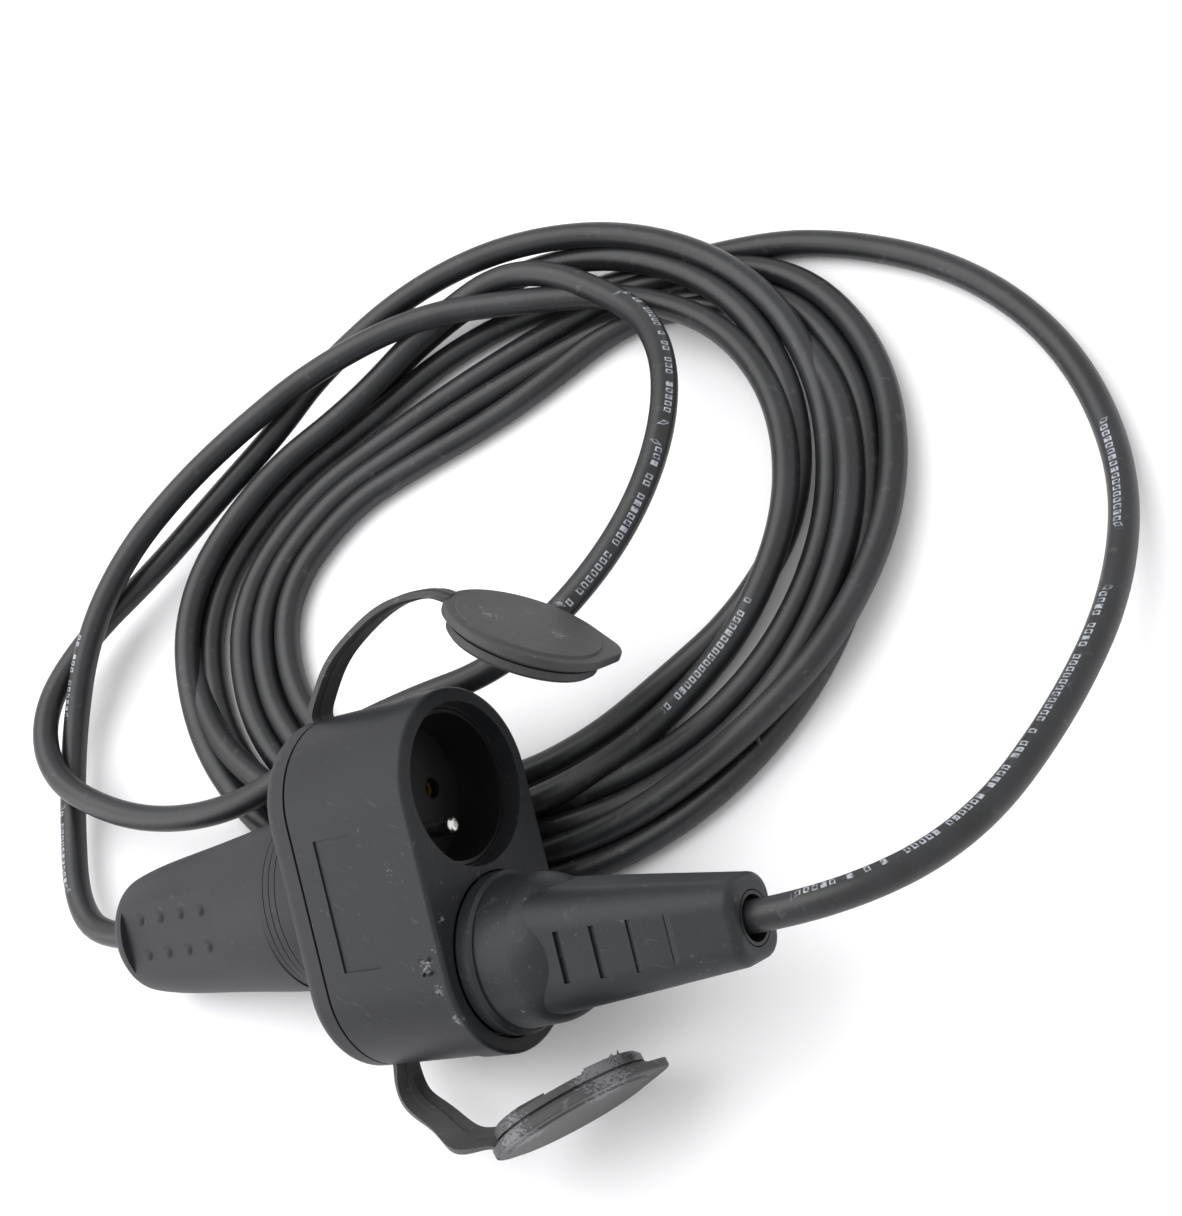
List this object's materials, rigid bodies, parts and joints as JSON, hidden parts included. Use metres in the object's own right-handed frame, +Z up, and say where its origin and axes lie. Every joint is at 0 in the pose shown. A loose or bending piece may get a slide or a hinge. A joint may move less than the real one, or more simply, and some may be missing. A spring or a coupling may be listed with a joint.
{
  "type": "extension lead",
  "caption": "Coiled rubber extension lead: oval two-way socket block with hinged-strap sealing caps, its own plug parked in one socket.",
  "frame": {"origin": "on the floor under the middle of the socket block with its caps, the plug and the cord left out", "axes": "+X along the block from its grip towards the plug, +Y towards the coil, +Z up"},
  "size_m": [0.353, 0.2875, 0.0803],
  "materials": {
    "housing_rubber": "matt moulded rubber",
    "grip_rubber": "matt moulded rubber",
    "gasket_rubber": "matt",
    "socket_plastic": "satin black plastic",
    "pin_metal": "nickel plated",
    "contact_brass": "plain strip",
    "plug_rubber": "matt moulded rubber",
    "plug_plastic": "satin black plastic",
    "gland_rubber": "matt",
    "screw_steel": "zinc plated",
    "wire_brown": "insulated wire",
    "wire_blue": "insulated wire",
    "wire_green": "insulated wire",
    "clamp_plastic": "moulded plastic",
    "cap_rubber": "matt, scuffed",
    "cord_rubber": "matt rubber sheath, rubbed"
  },
  "bodies": {
    "root": {"housing": "housing_rubber", "seam_gasket": "gasket_rubber", "rear_grip": "grip_rubber", "upper_socket_cup": "socket_plastic", "lower_socket_cup": "socket_plastic", "upper_earth_pin": "pin_metal", "lower_earth_pin": "pin_metal", "live_bar": "contact_brass", "neutral_bar": "contact_brass", "earth_bar": "contact_brass", "plug_body": "plug_rubber", "plug_insert": "plug_plastic", "plug_pins": "pin_metal", "plug_earth_contact": "contact_brass", "plug_gland": "gland_rubber", "grip_gland": "gland_rubber", "terminal_screws": "screw_steel", "cord_end": "cord_rubber", "live_wire": "wire_brown", "neutral_wire": "wire_blue", "earth_wire": "wire_green", "cord_clamp": "clamp_plastic", "clamp_screws": "screw_steel", "upper_cap": "cap_rubber", "lower_cap": "cap_rubber", "cord_outer_run": "cord_rubber", "cord_grip_run": "cord_rubber", "cord_loop_run": "cord_rubber", "cord_coil": "cord_rubber"}
  },
  "joints": []
}
